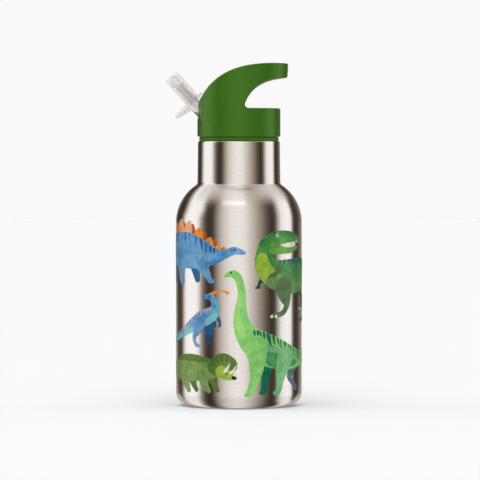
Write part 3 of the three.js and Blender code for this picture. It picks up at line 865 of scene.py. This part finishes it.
def long_neck():
    """Tall light green long-necked dinosaur, head to the left."""
    trunk = limb(
        (-7.6, 73.0, 0.8), (-5.7, 73.8, 1.4), (-3.4, 74.4, 2.0), (-0.8, 72.6, 2.2), (0.9, 68.6, 2.1),
        (1.6, 63, 2.3), (1.2, 57, 2.9), (1.0, 51, 3.9), (2.2, 45, 5.0), (5.8, 39.2, 6.8),
        (12, 34.2, 8.7), (20, 31.0, 8.6), (29, 28.6, 7.3), (38, 27.2, 5.3), (47, 26.8, 3.6),
        (58, 28.4, 2.1), (71, 33.4, 0.3),
    )
    far_front = limb((15.5, 27, 4.6), (15.4, 20, 3.0), (14.7, 14, 2.2), (13.8, 9.8, 1.9), (12.2, 9.0, 1.1))
    far_hind = limb(
        (38, 25, 3.6), (34.4, 21, 2.7), (31.8, 17.4, 1.8), (35, 13.8, 1.5), (38.4, 11.0, 1.5),
        (36.4, 10.2, 0.9),
    )
    near_front = limb(
        (9.6, 34, 6.6), (10.2, 27.5, 5.0), (9.8, 21.5, 3.8), (8.7, 16, 2.8), (7.2, 11.6, 2.2),
        (5.9, 8.9, 1.9), (3.9, 7.7, 1.1),
    )
    near_hind = limb(
        (28.5, 28, 6.2), (26, 21.6, 4.4), (24.4, 15.6, 2.7), (23.6, 11, 2.1), (22.6, 9.2, 1.8),
        (20.8, 8.5, 1.1),
    )
    flank = limb((14, 33, 3.0), (20, 29.4, 5.4), (28, 27.2, 4.8), (38, 26.4, 2.6), (48, 27, 1.0))
    belly = limb((15, 29, 2.0), (21, 26.4, 4.4), (29, 25, 3.2), (38, 25, 1.2))
    neck_light = limb(
        (-1.8, 73, 0.9), (-0.4, 69, 0.8), (0.2, 62, 0.9), (-0.6, 55, 1.3), (-1.0, 49, 1.8),
        (1.6, 41, 2.2),
    )
    back = [(8.5, 42.3), (14, 41.4), (20, 39.0), (28, 35.6), (36, 31.8), (44, 29.8)]
    return [
        ("slate", far_hind, COARSE),
        ("pine", far_front, COARSE),
        ("light_green", trunk, COARSE),
        ("soft_green", only_in(flank, trunk, 0.2), COARSE),
        ("mid_green", only_in(belly, trunk, 0.2), COARSE),
        ("fresh_green", only_in(neck_light, trunk, 0.3), MEDIUM),
        ("pine", only_in(stripes(back, 16, 6.4, 0.62, 0.3), trunk, 0.0), MEDIUM),
        ("light_green", near_front, COARSE),
        ("soft_green", near_hind, COARSE),
        ("ink_black", spot(-4.3, 74.9, 0.55), SMALL),
        ("pine", limb((-7.7, 72.8, 0.1), (-5.9, 73.0, 0.12)), SMALL),
    ]


def crested_runner():
    """Small blue two-legged dinosaur with a long crest, looking left."""
    trunk = limb(
        (-58, 35.2, 0.3), (-51, 36.6, 1.2), (-43, 39.2, 2.0), (-35, 42.5, 2.8), (-27.5, 46.3, 3.8),
        (-21.2, 49.6, 4.6), (-16.2, 51.6, 4.2), (-13.4, 54.8, 2.9), (-13.6, 58.6, 2.0),
        (-15.8, 61.2, 1.8), (-18.6, 61.7, 1.3), (-21, 61.5, 0.8),
    )
    crest = limb(
        (-16.6, 62.4, 1.1), (-13.2, 64.3, 0.7), (-9.6, 65.0, 0.45), (-7.2, 64.3, 0.6), (-6.2, 63.7, 0.95),
    )
    near_leg = limb(
        (-23.6, 47.2, 4.2), (-25.2, 42.8, 2.5), (-27.2, 39.2, 1.3), (-26.6, 36.2, 1.0),
        (-25.4, 34.8, 1.1), (-23.6, 34.4, 0.7),
    )
    far_leg = limb(
        (-18.6, 47, 3.4), (-16.8, 42.8, 2.1), (-18.2, 39.2, 1.1), (-17.4, 36.8, 0.9), (-15.4, 36.0, 0.7),
    )
    arms = together(
        limb((-13.4, 51.4, 1.6), (-11.0, 48.8, 0.9), (-10.6, 46.0, 0.7), (-11.4, 45.2, 0.4)),
        limb((-16.4, 50.0, 1.4), (-13.9, 47.4, 0.9), (-13.4, 45.4, 0.6)),
    )
    front = limb((-12.4, 58.6, 1.1), (-11.4, 55.0, 1.7), (-13.4, 51.0, 2.1), (-18.4, 47.4, 2.0))
    tail_light = limb((-29, 43.2, 1.4), (-38, 39.6, 1.3), (-47, 36.8, 0.7), (-54, 35.4, 0.3))
    back = [(-44, 41.2), (-37, 44.4), (-30, 48.8), (-24, 53.2), (-19, 55.4), (-16.6, 56.6)]
    return [
        ("deep_blue", together(far_leg, arms), MEDIUM),
        ("orange", crest, MEDIUM),
        ("blue", trunk, COARSE),
        ("teal", only_in(together(front, tail_light), trunk, 0.15), MEDIUM),
        ("tan", only_in(stripes(back, 15, 4.6, 0.36, 0.12), trunk, 0.0), MEDIUM),
        ("sky", near_leg, MEDIUM),
        ("ink_black", spot(-16.4, 61.9, 0.42), SMALL),
    ]


def horned_grazer():
    """Olive four-legged dinosaur with a frill and three horns, looking right."""
    trunk = limb(
        (-62, 21.6, 0.4), (-56, 21.4, 2.3), (-48, 21.4, 4.8), (-38.5, 22.0, 7.1), (-29, 22.3, 7.6),
        (-20.5, 22.2, 6.2), (-14, 21.6, 4.6),
    )
    near_legs = together(
        limb((-38, 20.5, 5.4), (-35.2, 15.8, 3.5), (-33.0, 11.8, 2.1), (-31.8, 10.0, 1.6)),
        limb((-20.6, 20.5, 4.8), (-20.4, 15.4, 2.9), (-18.8, 11.5, 1.9), (-17.4, 10.0, 1.4)),
    )
    far_legs = together(
        limb((-29, 17.5, 3.6), (-27.2, 12.9, 1.9), (-25.6, 10.4, 1.4)),
        limb((-15.4, 18.5, 3.3), (-14.0, 14.0, 2.0), (-12.6, 11.0, 1.4), (-11.6, 10.4, 0.9)),
    )
    frill = limb((-13.2, 23.2, 4.8), (-9.2, 24.8, 6.0), (-5.6, 24.2, 4.8))
    face = limb((-9.8, 20.6, 3.4), (-6.4, 18.8, 2.9), (-3.8, 17.8, 1.9), (-2.6, 17.4, 1.3))
    ribs = together(*[
        limb((-8.2, 21.0, 0.2), (-8.2 + 7.4 * math.cos(a), 21.4 + 7.4 * math.sin(a), 0.2))
        for a in np.radians([62, 88, 114, 140, 166])
    ])
    horns = together(
        limb((-7.6, 20.8, 0.9), (-6.1, 22.8, 0.65), (-5.0, 25.6, 0.1)),
        limb((-4.6, 20.0, 0.8), (-2.8, 21.5, 0.55), (-1.3, 24.4, 0.1)),
        limb((-2.6, 18.6, 0.6), (-1.4, 20.6, 0.1)),
    )
    saddle = limb((-46, 27.2, 1.2), (-37, 28.6, 2.6), (-28, 28.9, 3.0), (-19, 27.6, 2.2))
    return [
        ("dark_olive", far_legs, MEDIUM),
        ("olive", trunk, COARSE),
        ("dark_olive", only_in(saddle, trunk, 0.1), MEDIUM),
        ("light_olive", near_legs, COARSE),
        ("dark_olive", frill, MEDIUM),
        ("light_olive", only_in(ribs, frill, 0.3), SMALL),
        ("lime", face, MEDIUM),
        ("bone", horns, SMALL),
        ("ink_black", together(spot(-7.0, 19.4, 0.5), limb((-3.2, 17.4, 0.9), (-2.0, 17.0, 0.8))), SMALL),
    ]


def shifted(layers, shift_u, shift_v, scale=1.0, flip=1.0):
    """The same picture elsewhere on the flask."""
    return [(name, shape.moved(shift_u, shift_v, scale, flip), step) for name, shape, step in layers]


def all_pictures():
    """Five pictures on the front and four more that carry the row round the back."""
    return {
        "print_plated": plated_walker(),
        "print_hunter": big_hunter(),
        "print_long_neck": long_neck(),
        "print_crested": crested_runner(),
        "print_horned": horned_grazer(),
        "print_back_horned": shifted(horned_grazer(), 45, 31, flip=-1.0),
        "print_back_crested": shifted(crested_runner(), 146, 33),
        "print_back_plated": shifted(plated_walker(), 80, -62, flip=-1.0),
        "print_back_hunter": shifted(big_hunter(), 106, 18.5, scale=0.48),
    }


# ---------- node trees ----------

class Nodes:
    """Short names for building the node tree of a material or the world. Where a value goes
    in, it may be a number, a colour or another node's output."""

    def __init__(self, owner, output="ShaderNodeOutputMaterial"):
        owner.use_nodes = True
        self.owner = owner
        self.tree = owner.node_tree
        self.tree.nodes.clear()
        self.output = self.add(output)

    def put(self, value, socket):
        if isinstance(value, bpy.types.NodeSocket):
            self.tree.links.new(value, socket)
        else:
            socket.default_value = value

    def add(self, kind, inputs=None, **settings):
        """A node with these settings, and with values for its inputs by name or number."""
        node = self.tree.nodes.new(kind)
        for key, value in settings.items():
            setattr(node, key, value)
        for key, value in (inputs or {}).items():
            self.put(value, node.inputs[key])
        return node

    def math(self, operation, a, b=0.0):
        return self.add("ShaderNodeMath", {0: a, 1: b}, operation=operation).outputs[0]

    def times(self, a, b):
        return self.math("MULTIPLY", a, b)

    def weighted(self, *parts):
        """The sum of (value, weight) parts."""
        total = 0.0
        for value, weight in parts:
            total = self.math("ADD", total, self.times(value, weight))
        return total

    def vector(self, operation, *values):
        inputs = dict(enumerate(values))
        return self.add("ShaderNodeVectorMath", inputs, operation=operation).outputs[0]

    def noise(self, vector, scale, detail=2.0, rough=0.5):
        """Noise at one scale, or at its own scale in each direction."""
        if isinstance(scale, tuple):
            vector = self.vector("MULTIPLY", vector, scale)
            scale = 1.0
        inputs = {"Vector": vector, "Scale": scale, "Detail": detail, "Roughness": rough}
        return self.add("ShaderNodeTexNoise", inputs).outputs["Fac"]

    def ramp(self, value, stops):
        """Colour along a row of (place, colour) stops."""
        node = self.add("ShaderNodeValToRGB", {"Fac": value})
        elements = node.color_ramp.elements
        while len(elements) < len(stops):
            elements.new(0.5)
        for element, (place, colour) in zip(elements, stops):
            element.position = place
            element.color = (*colour, 1.0)
        return node.outputs["Color"]

    def rise(self, value, start, end):
        """0 below start, 1 above end, and a smooth step between."""
        inputs = {"Value": value, "From Min": start, "From Max": end}
        node = self.add("ShaderNodeMapRange", inputs, interpolation_type="SMOOTHSTEP")
        return node.outputs["Result"]

    def between(self, value, limits, edge):
        """1 between the limits and 0 outside them, with soft edges."""
        start, end = [self.rise(value, limit - edge, limit + edge) for limit in limits]
        return self.math("SUBTRACT", start, end)

    def about(self, value, middle, spread):
        """A value from 0 to 1 as middle - spread to middle + spread."""
        inputs = {"Value": value, "To Min": middle - spread, "To Max": middle + spread}
        return self.add("ShaderNodeMapRange", inputs).outputs["Result"]

    def mixed(self, share, a, b):
        """a where share is 0 and b where it is 1."""
        inputs = {"Factor": share, "A": a, "B": b}
        return self.add("ShaderNodeMix", inputs, data_type="RGBA").outputs["Result"]

    def bump(self, height, distance, strength):
        inputs = {"Strength": strength, "Distance": distance, "Height": height}
        return self.add("ShaderNodeBump", inputs).outputs["Normal"]

    def place(self):
        return self.add("ShaderNodeTexCoord").outputs["Object"]

    def finished(self, kind, **inputs):
        """Ends the tree with a shader. Spaces in its inputs' names are written as _."""
        shader = self.add(kind, {key.replace("_", " "): value for key, value in inputs.items()})
        self.put(shader.outputs[0], self.output.inputs["Surface"])
        return self.owner

    def surface(self, **inputs):
        return self.finished("ShaderNodeBsdfPrincipled", **inputs)


def new_material(name):
    return Nodes(bpy.data.materials.new(name))


def srgb(red, green, blue):
    """An sRGB colour in 0..255 as linear numbers."""
    parts = []
    for value in (red, green, blue):
        value /= 255
        parts.append(value / 12.92 if value <= 0.04045 else ((value + 0.055) / 1.055) ** 2.4)
    return tuple(parts)


# ---------- materials ----------

def round_the_body(n):
    """Coordinates that run round the bottle and up it, in metres at the body's radius."""
    x, y, z = n.add("ShaderNodeSeparateXYZ", {0: n.place()}).outputs
    around = n.times(n.math("ARCTAN2", y, x), BODY_R * MM)
    return n.add("ShaderNodeCombineXYZ", {"X": around, "Z": z}).outputs[0]


def along_the_spout(n):
    """Coordinates across the open spout in X and Y, and along it in Z."""
    inputs = {"Vector": n.place(), "Angle": math.radians(OPEN_LEAN)}
    return n.add("ShaderNodeVectorRotate", inputs, rotation_type="Y_AXIS").outputs[0]


def brushed_steel(name, light, dark, roughness):
    """Steel brushed round the body: faint fine streaks along the brushing, and highlights
    that spread up and down, across it."""
    n = new_material(name)
    around = round_the_body(n)
    fine = n.noise(around, (90, 90, 9000))
    streaks = n.noise(around, (150, 150, 1900), 3, 0.65)
    both = n.weighted((fine, 0.35), (streaks, 0.65))
    worn = n.weighted((both, 0.6), (n.noise(n.place(), 30), 0.4))
    tangent = n.add("ShaderNodeTangent", direction_type="RADIAL", axis="Z")
    return n.surface(
        Base_Color=n.ramp(both, [(0.3, dark), (0.7, light)]),
        Metallic=1.0,
        Roughness=n.about(worn, roughness, 0.04),
        Anisotropic=0.8,
        Anisotropic_Rotation=0.25,
        Tangent=tangent.outputs[0],
        Normal=n.bump(both, 0.000004, 0.4),
    )


def moulded_plastic(name, light, dark, roughness, grain=1400, depth=0.00003, **extra):
    """Coloured plastic with a faint moulded texture and slight unevenness of colour."""
    n = new_material(name)
    cloud = n.noise(n.place(), 38, 3, 0.55)
    return n.surface(
        Base_Color=n.ramp(cloud, [(0.3, dark), (0.7, light)]),
        Roughness=n.about(cloud, roughness, 0.05),
        Normal=n.bump(n.noise(n.place(), grain), depth, 0.35),
        **extra,
    )


def clear_plastic(name, middle, roughness, ior, clear, coat):
    """Clear plastic or silicone with a milky haze. Painted light is in its colour: painted highlight and
    shade streaks along the spout, a painted bright band and a painted darker line where its surface turns
    away."""
    n = new_material(name)
    streaks = n.noise(along_the_spout(n), (700, 700, 60))
    turned_away = n.add("ShaderNodeLayerWeight", {"Blend": 0.5}).outputs["Facing"]
    # Painted light: the colour follows how far the surface turns away, shifted by the streaks. It is
    # painted a little darker where the surface faces straight out, painted bright further round, and
    # painted as a dark brownish line at the rim.
    painted_streaks = n.times(n.math("SUBTRACT", streaks, 0.5), 1.1)
    painted_shade = tuple(0.86 * part for part in middle)
    painted_highlight = srgb(255, 254, 253)
    edge = srgb(160, 143, 131)
    stops = [(0.0, painted_shade), (0.1, middle), (0.28, painted_highlight), (0.58, painted_highlight), (0.84, edge)]
    return n.surface(
        Base_Color=n.ramp(n.math("ADD", turned_away, painted_streaks), stops),
        Roughness=n.about(n.noise(n.place(), 90), roughness, 0.2 * roughness),
        IOR=ior,
        Transmission_Weight=clear,
        Coat_Weight=coat,
        Coat_Roughness=0.08,
    )


# Each ink's light and dark tones.
INKS = {
    "blue": ((122, 182, 228), (52, 128, 192)),
    "sky": ((124, 176, 218), (78, 140, 190)),
    "deep_blue": ((38, 104, 162), (20, 74, 122)),
    "navy": ((62, 94, 140), (40, 72, 112)),
    "teal": ((134, 208, 214), (96, 178, 194)),
    "slate": ((98, 128, 146), (74, 104, 124)),
    "tan": ((242, 190, 140), (224, 156, 100)),
    "orange": ((246, 168, 54), (228, 128, 34)),
    "rust": ((206, 94, 36), (176, 66, 22)),
    "hunter_green": ((98, 176, 80), (44, 126, 60)),
    "leaf_green": ((122, 184, 80), (84, 152, 60)),
    "lime": ((172, 206, 74), (134, 178, 56)),
    "sage": ((128, 168, 104), (94, 140, 80)),
    "moss": ((98, 134, 86), (68, 106, 66)),
    "deep_green": ((32, 106, 56), (18, 78, 42)),
    "pine": ((16, 130, 98), (6, 98, 76)),
    "light_green": ((158, 226, 130), (122, 202, 106)),
    "fresh_green": ((172, 230, 132), (140, 214, 112)),
    "mid_green": ((78, 174, 108), (50, 144, 90)),
    "soft_green": ((142, 206, 142), (104, 178, 116)),
    "olive": ((142, 174, 94), (102, 142, 64)),
    "light_olive": ((140, 174, 96), (100, 138, 62)),
    "dark_olive": ((104, 138, 58), (72, 110, 42)),
    "bone": ((244, 244, 236), (226, 226, 214)),
    "ink_black": ((34, 34, 34), (20, 20, 20)),
}


def ink(name, light, dark):
    """Slightly see-through ink: the steel's reflections show faintly through it, and its
    tone varies like brushed paint."""
    n = new_material(name)
    around = round_the_body(n)
    wash = n.noise(around, (120, 120, 170), 3, 0.6)
    strokes = n.noise(around, (700, 700, 260))
    grain = n.noise(around, 1500, 2, 0.6)
    tone = n.weighted((wash, 0.55), (strokes, 0.25), (grain, 0.2))
    return n.surface(
        Base_Color=n.ramp(tone, [(0.41, dark), (0.59, light)]),
        Metallic=0.25,
        Roughness=n.about(grain, 0.35, 0.07),
        Specular_IOR_Level=0.4,
    )


def paint(piece, material):
    piece.data.materials.clear()
    piece.data.materials.append(material)


def paint_node(node, material):
    for slot in node.material_slots:
        slot.material = material


# ---------- studio ----------

# The studio as the steel shows it: soft boxes left and right, a wide warm fill in front and
# black flags between them. The directions are sorted by which part of the bottle mirrors
# them to the front: the place round it in degrees, positive to the viewer's right, and how
# far the surface there leans up. The numbers are brightness, 0..255 in sRGB.
STUDIO_WALLS = [
    (-90, 132), (-75, 48), (-69, 40), (-66, 60), (-63, 102), (-60, 180), (-57, 234), (-52, 243),
    (-43, 242), (-40, 222), (-36, 130), (-32, 64), (-28, 44), (-24, 58), (-20, 132), (-15, 186),
    (-8, 220), (-1, 229), (5, 222), (11, 189), (20, 131), (26, 78), (31, 44), (35, 64),
    (39, 172), (42, 228), (50, 242), (55, 234), (58, 104), (61, 46), (69, 56), (90, 160),
]
STUDIO_UPPER = [
    (-90, 120), (-80, 74), (-74, 48), (-68, 50), (-62, 150), (-58, 226), (-54, 234), (-49, 210),
    (-42, 212), (-34, 188), (-27, 178), (-20, 183), (-12, 214), (-4, 226), (4, 216), (11, 172),
    (20, 172), (30, 184), (42, 204), (50, 200), (58, 160), (63, 96), (68, 34), (74, 82),
    (90, 132),
]

# Where each part of the studio begins and where it is complete, in degrees: of lean for
# above, of lean the other way for below, and of place for left, right and sides.
UPPER_ABOVE = (20, 42)
WIDE_BOX_LEFT, WIDE_BOX_ABOVE, WIDE_BOX_BY = (28, 36), (6, 16), 3.0
WIDE_FLAG_RIGHT, WIDE_FLAG_BELOW, WIDE_FLAG_BY = (25, 38), (25, 55), 4.0
SHADE_BELOW, SHADE = (2, 20), 0.16
GREY_BELOW, GREY_SIDES, GREY_SPREAD, GREY_TONE = (3, 16), (68, 77), 0.32, 165
STRIP_PLACE, STRIP_PLACE_EDGE = (-16.5, 6.5), 1.2
STRIP_LEAN, STRIP_LEAN_EDGE = (24.5, 28.0), 0.6
STRIP_STRENGTH = 0.5
WORLD_STRENGTH = 1.08

FLOOR_HALF = 6.0
FLOOR_DROP = 0.0002
FLOOR_COLOUR = (0.868, 0.925, 0.985, 1.0)
DOME_R = 5.5
DOME_COLOUR = (0.95, 0.95, 0.95, 1.0)

SKY_STRENGTH = 1.74
SKY_SPREAD = 70
SKY_LEAN = 14

CAMERA_X = 0.0006
CAMERA_DISTANCE = 2.0
CAMERA_Z = 0.142
AIM_Z = 0.092
VIEW_WIDTH = 0.2673
SENSOR = 36


def warm(tone):
    """A tone from 0 to 255 with the warm cast of the studio."""
    cast = 0.00075 * tone * (262 - tone)
    return srgb(tone + cast, tone, tone - cast)


def studio_world():
    world = bpy.data.worlds.new("studio")
    bpy.context.scene.world = world
    n = Nodes(world, "ShaderNodeOutputWorld")
    direction = n.add("ShaderNodeTexCoord").outputs["Generated"]
    side, away, up = n.add("ShaderNodeSeparateXYZ", {0: direction}).outputs
    reach = n.math("MAXIMUM", n.math("SUBTRACT", 1.0, away), 0.0001)
    place = n.math("DEGREES", n.math("ARCTAN2", side, reach))
    across = n.math("SQRT", n.times(reach, 2.0))
    lean = n.math("DEGREES", n.math("ARCSINE", n.math("DIVIDE", up, across)))
    down = n.times(lean, -1.0)

    # Over the shoulder the left soft box is wider, and under the body the right flag is.
    left = n.rise(n.times(place, -1.0), *WIDE_BOX_LEFT)
    wide_box = n.times(left, n.rise(lean, *WIDE_BOX_ABOVE))
    wide_flag = n.times(n.rise(place, *WIDE_FLAG_RIGHT), n.rise(down, *WIDE_FLAG_BELOW))
    widened = n.weighted((wide_box, WIDE_BOX_BY), (wide_flag, WIDE_FLAG_BY))
    turn = n.math("DIVIDE", n.math("ADD", n.math("SUBTRACT", place, widened), 90.0), 180.0)
    walls, upper = [
        n.ramp(turn, [((where + 90) / 180, warm(tone)) for where, tone in table])
        for table in (STUDIO_WALLS, STUDIO_UPPER)
    ]
    room = n.mixed(n.rise(lean, *UPPER_ABOVE), walls, upper)

    # Low down it is a little darker, and grey at the sides.
    room = n.mixed(n.times(n.rise(down, *SHADE_BELOW), SHADE), room, (0, 0, 0, 1))
    outward = n.math("ADD", n.math("ABSOLUTE", place), n.times(down, GREY_SPREAD))
    grey = n.times(n.rise(down, *GREY_BELOW), n.rise(outward, *GREY_SIDES))
    room = n.mixed(grey, room, (*warm(GREY_TONE), 1))

    # A strip light shows on the shoulder, left of the middle.
    strip = n.times(
        n.between(place, STRIP_PLACE, STRIP_PLACE_EDGE), n.between(lean, STRIP_LEAN, STRIP_LEAN_EDGE),
    )
    glow = n.add("ShaderNodeVectorMath", {0: (STRIP_STRENGTH,) * 3, "Scale": strip}, operation="SCALE")
    light = n.vector("ADD", room, glow.outputs[0])
    n.finished("ShaderNodeBackground", Color=light, Strength=WORLD_STRENGTH)


def studio_stage():
    """A pale floor under the bottle, and a pale dome that only the camera sees."""
    corners = [(x * FLOOR_HALF, y * FLOOR_HALF, 0) for x, y in ((-1, -1), (1, -1), (1, 1), (-1, 1))]
    floor = new_object("stage_floor", corners, [(0, 1, 2, 3)])
    floor.location.z = -FLOOR_DROP
    paint(floor, new_material("stage_pale").surface(Base_Color=FLOOR_COLOUR, Roughness=0.9))
    floor.visible_glossy = False

    ball = bmesh.new()
    bmesh.ops.create_uvsphere(ball, u_segments=48, v_segments=24, radius=DOME_R)
    mesh = bpy.data.meshes.new("stage_dome")
    ball.to_mesh(mesh)
    ball.free()
    dome = in_scene("stage_dome", mesh)
    paint(dome, new_material("stage_white").finished("ShaderNodeEmission", Color=DOME_COLOUR))
    dome.visible_diffuse = False
    dome.visible_glossy = False
    dome.visible_shadow = False


def soft_sky():
    """Even soft light from overhead. It lights colours and the floor but leaves no
    reflection in the steel."""
    data = bpy.data.lights.new("soft_sky", "SUN")
    data.energy = SKY_STRENGTH
    data.angle = math.radians(SKY_SPREAD)
    light = in_scene("soft_sky", data)
    light.rotation_euler = (math.radians(SKY_LEAN), 0, 0)
    light.visible_glossy = False


def camera():
    data = bpy.data.cameras.new("camera")
    data.sensor_width = SENSOR
    data.lens = SENSOR * CAMERA_DISTANCE / VIEW_WIDTH
    data.clip_end = 50
    made = in_scene("camera", data)
    made.location = (CAMERA_X, -CAMERA_DISTANCE, CAMERA_Z)
    aim = Vector((CAMERA_X, 0.0, AIM_Z))
    made.rotation_euler = (aim - made.location).to_track_quat("-Z", "Y").to_euler()
    bpy.context.scene.camera = made


# ---------- assembly ----------

def main():
    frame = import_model()
    bpy.context.scene.view_settings.view_transform = "Standard"

    steel = brushed_steel("brushed_steel", srgb(255, 255, 255), srgb(236, 236, 236), 0.17)
    bare = brushed_steel("drawn_steel", srgb(216, 212, 207), srgb(200, 196, 191), 0.34)
    tint = {"Specular_IOR_Level": 0.62, "Specular_Tint": (0.45, 1.0, 0.2, 1.0)}
    green = moulded_plastic("green_plastic", srgb(60, 108, 30), srgb(56, 103, 27), 0.26, **tint)
    soft_green = moulded_plastic("green_silicone", srgb(64, 118, 33), srgb(58, 110, 28), 0.5, **tint)
    white = moulded_plastic("white_silicone", srgb(228, 228, 222), srgb(214, 214, 208), 0.6)
    milky = moulded_plastic("natural_plastic", srgb(222, 224, 218), srgb(206, 208, 202), 0.45)
    clear = clear_plastic("clear_plastic", srgb(254, 252, 250), 0.1, 1.25, 0.8, 0.4)
    soft_clear = clear_plastic("clear_silicone", srgb(252, 249, 246), 0.1, 1.22, 0.78, 0.6)
    powder = moulded_plastic("getter_powder", srgb(120, 116, 112), srgb(84, 80, 78), 0.8, 2600, 0.0002)
    glass = moulded_plastic("seal_glass", srgb(86, 90, 80), srgb(60, 64, 58), 0.25)

    for piece, material, body, slot, replaced in [
        (steel_shell(), steel, "bottle", "steel", "outer_shell"),
        (base_plate(), steel, "bottle", "steel", "base_disc"),
        (gasket_ring(), soft_green, "gasket", "green_rubber", "lid_gasket"),
        (lid_cap(), green, "lid", "green_plastic", "lid_shell"),
        (screw_plug(), green, "lid", "green_plastic", "lid_plug"),
        (clear_stem(), clear, "spout", "clear_plastic", "spout_stem"),
        (mouthpiece(), soft_clear, "spout", "clear_silicone", "bite_valve"),
    ]:
        paint(piece, material)
        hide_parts(replaced)
        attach(piece, body)

    inks = {
        name: ink("ink_" + name, srgb(*light), srgb(*dark)) for name, (light, dark) in INKS.items()
    }
    for name, layers in all_pictures().items():
        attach(print_picture(name, layers, inks), "bottle")

    for name, material in [
        ("inner_liner", bare), ("seal_bead", glass), ("getter", powder), ("vent_valve", white),
        ("spout_cradle", milky), ("spout_seal", white), ("straw", clear),
    ]:
        paint_node(frame["nodes"][name], material)

    studio_world()
    studio_stage()
    soft_sky()
    camera()


main()
